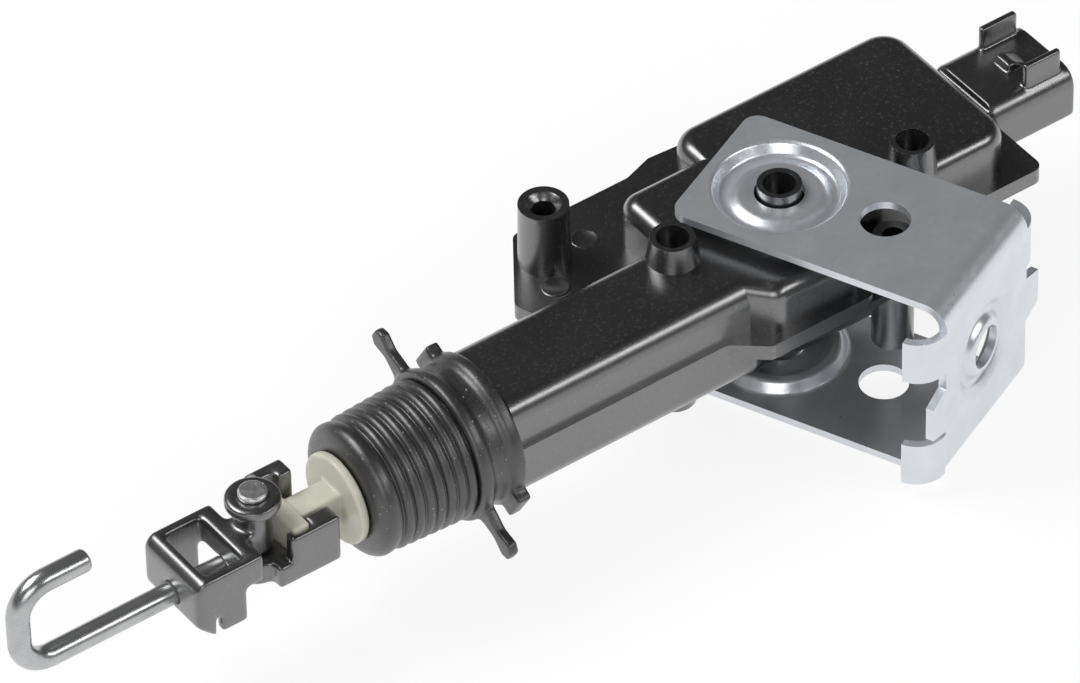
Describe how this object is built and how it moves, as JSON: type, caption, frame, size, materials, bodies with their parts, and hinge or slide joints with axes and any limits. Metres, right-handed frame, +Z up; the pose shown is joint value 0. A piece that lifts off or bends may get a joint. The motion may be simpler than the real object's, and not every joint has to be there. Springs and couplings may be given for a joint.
{
  "type": "door latch actuator",
  "caption": "Electric door latch actuator: moulded motor housing with connector, booted plunger, swinging hook link and U-shaped steel mounting bracket.",
  "frame": {"origin": "centre of the fixing hole in the bracket's web", "axes": "+X along the plunger from the hook to the connector, +Z up along the swivel axis, +Y from the bracket's web towards the motor side"},
  "size_m": [0.2341, 0.0774, 0.043],
  "materials": {
    "housing_plastic": "satin glass-filled moulding",
    "connector_plastic": "satin moulding",
    "link_plastic": "satin moulding",
    "boot_rubber": "matte",
    "plunger_nylon": "satin natural nylon",
    "gear_nylon": "satin",
    "bracket_zinc": "zinc plated sheet",
    "wire_steel": "bright plated wire",
    "rivet_metal": "satin",
    "shaft_steel": "ground",
    "motor_steel": "zinc plated",
    "motor_cap_plastic": "satin",
    "magnet_ferrite": "matte",
    "armature_copper": "varnished windings",
    "sintered_bronze": "satin",
    "terminal_brass": "bright"
  },
  "bodies": {
    "mount": {"mounting_bracket": "bracket_zinc"},
    "housing": {"upper_housing": "housing_plastic", "lower_housing": "housing_plastic", "connector_header": "connector_plastic", "terminal_blades": "terminal_brass", "contact_strips": "terminal_brass", "motor_can": "motor_steel", "motor_end_cap": "motor_cap_plastic", "motor_bearings": "sintered_bronze", "motor_magnets": "magnet_ferrite", "screw_bearings": "sintered_bronze", "thrust_washer": "shaft_steel", "plunger_guide": "connector_plastic", "stop_bumpers": "boot_rubber", "boot_collar": "boot_rubber", "boot_bellows": "boot_rubber"},
    "plunger": {"plunger": "plunger_nylon", "plunger_socket": "link_plastic", "link_pin": "rivet_metal"},
    "link": {"rod_block": "link_plastic", "hook_rod": "wire_steel"},
    "screw": {"lead_screw": "shaft_steel", "screw_gear": "gear_nylon"},
    "rotor": {"armature": "armature_copper", "motor_shaft": "shaft_steel", "motor_pinion": "sintered_bronze"}
  },
  "joints": [
    {"name": "bracket_swivel", "type": "hinge", "parent": "mount", "child": "housing", "pos_m": [-0.01613, 0.03556, 0], "axis": [0, 0, 1], "range_deg": [-5, 45]},
    {"name": "motor_spin", "type": "hinge", "parent": "housing", "child": "rotor", "pos_m": [-0.01613, 0.04205, 0], "axis": [-1, 0, 0], "range_deg": [0, 1377]},
    {"name": "screw_spin", "type": "hinge", "parent": "housing", "child": "screw", "pos_m": [-0.01613, 0.03081, 0.005], "axis": [-1, 0, 0], "range_deg": [-570, 0]},
    {"name": "plunger_slide", "type": "slide", "parent": "housing", "child": "plunger", "axis": [-1, 0, 0], "range_m": [0, 0.019], "deforming": ["boot_bellows"]},
    {"name": "link_swivel", "type": "hinge", "parent": "plunger", "child": "link", "pos_m": [-0.13163, 0.03081, 0.0038], "axis": [0, 0, 1], "range_deg": [-30, 30]}
  ],
  "couplings": [
    {"joint": "screw_spin", "follows": "motor_spin", "ratio": -0.41379},
    {"joint": "plunger_slide", "follows": "motor_spin", "m_per_rad": 0.00079029}
  ]
}
